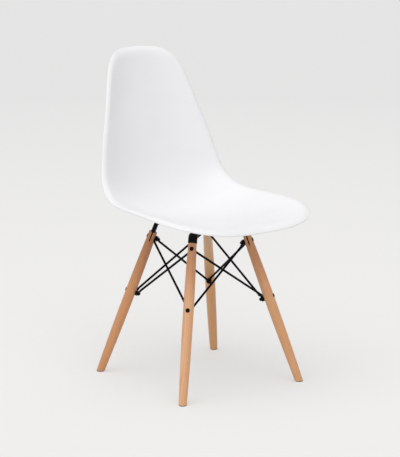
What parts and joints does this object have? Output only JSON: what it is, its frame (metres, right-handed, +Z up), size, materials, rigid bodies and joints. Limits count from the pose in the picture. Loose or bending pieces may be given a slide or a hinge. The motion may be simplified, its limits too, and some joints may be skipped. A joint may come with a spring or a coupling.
{
  "type": "shell chair",
  "caption": "Side chair: one-piece moulded plastic seat shell with a curled lip, on splayed turned wooden dowel legs under a steel tube cross with crossed wire braces.",
  "frame": {"origin": "on the floor, at the middle of the overall width and depth", "axes": "+Z up, the sitter faces -Y, the sitter's left is +X"},
  "size_m": [0.4502, 0.5498, 0.8252],
  "materials": {
    "shell_plastic": "satin moulded polypropylene",
    "beech": "clear satin lacquer",
    "black_steel": "satin black powder coat",
    "black_fasteners": "black oxide",
    "rubber": "matt",
    "glide_plastic": "matt",
    "zinc_steel": "zinc plated",
    "brass": "plain"
  },
  "bodies": {
    "root": {"frame_bar_lower": "black_steel", "frame_bar_upper": "black_steel", "frame_center_rivet": "black_steel", "frame_tongue_front_left": "black_steel", "frame_tongue_front_right": "black_steel", "frame_tongue_rear_left": "black_steel", "frame_tongue_rear_right": "black_steel", "glide_front_left": "glide_plastic", "glide_front_right": "glide_plastic", "glide_nails": "zinc_steel", "glide_rear_left": "glide_plastic", "glide_rear_right": "glide_plastic", "leg_bolts_lower": "black_fasteners", "leg_bolts_upper": "black_fasteners", "leg_cap_nuts": "black_fasteners", "leg_front_left": "beech", "leg_front_right": "beech", "leg_rear_left": "beech", "leg_rear_right": "beech", "leg_washers": "black_fasteners", "rod_eye_washers": "black_fasteners", "rod_front_inner": "black_steel", "rod_front_outer": "black_steel", "rod_left_inner": "black_steel", "rod_left_outer": "black_steel", "rod_rear_inner": "black_steel", "rod_rear_outer": "black_steel", "rod_right_inner": "black_steel", "rod_right_outer": "black_steel", "seat_screw_washers": "black_fasteners", "seat_screws_long": "black_fasteners", "seat_screws_short": "black_fasteners", "seat_shell": "shell_plastic", "shell_inserts": "brass", "spacers_tall": "rubber", "spacers_thin": "rubber"}
  },
  "joints": []
}
